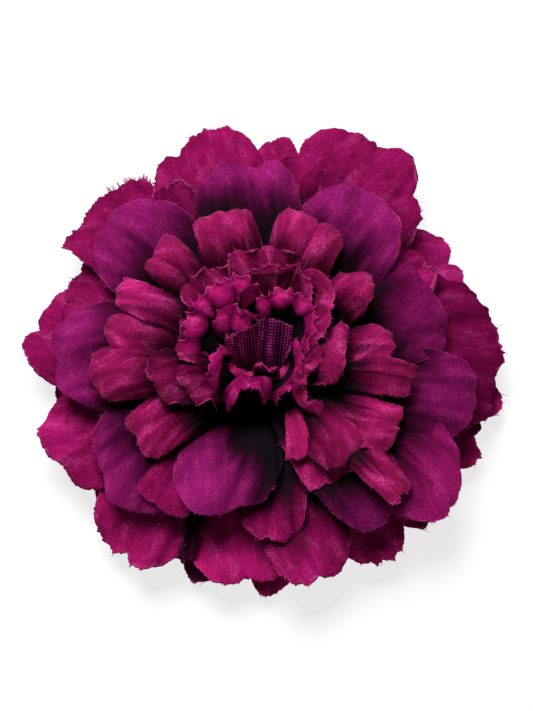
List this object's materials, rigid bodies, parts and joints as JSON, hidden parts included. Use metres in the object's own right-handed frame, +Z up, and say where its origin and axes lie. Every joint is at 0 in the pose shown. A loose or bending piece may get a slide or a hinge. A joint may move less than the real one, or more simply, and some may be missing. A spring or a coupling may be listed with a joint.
{
  "type": "carnation flower",
  "caption": "Artificial carnation flower head: ruffled whorls of magenta and purple fabric petals round a frilled centre, on a small plastic calyx that it rests on, face up.",
  "frame": {"origin": "centre of the flat underside of the calyx, which the flower rests on", "axes": "+Z up along the flower's axis, out of its face; +Y towards the petals at the top of the picture; +X towards the petals on its right"},
  "size_m": [0.101, 0.1035, 0.0384],
  "materials": {
    "calyx_plastic": "moulded",
    "low_petal_fabric": "woven, dyed",
    "outer_petal_fabric": "woven, dyed",
    "purple_petal_fabric": "woven, dyed",
    "spoon_petal_fabric": "woven, dyed",
    "ruffle_fabric": "woven, dyed",
    "frill_fabric": "woven, dyed, pinked",
    "mesh_fabric": "coarse mesh, dyed"
  },
  "bodies": {
    "root": {"calyx": "calyx_plastic", "outer_whorl_low": "low_petal_fabric", "outer_whorl": "outer_petal_fabric", "middle_whorl": "purple_petal_fabric", "spoon_whorl": "spoon_petal_fabric", "ruffle_outer": "ruffle_fabric", "ruffle_inner": "frill_fabric", "centre_tuft": "mesh_fabric"}
  },
  "joints": []
}
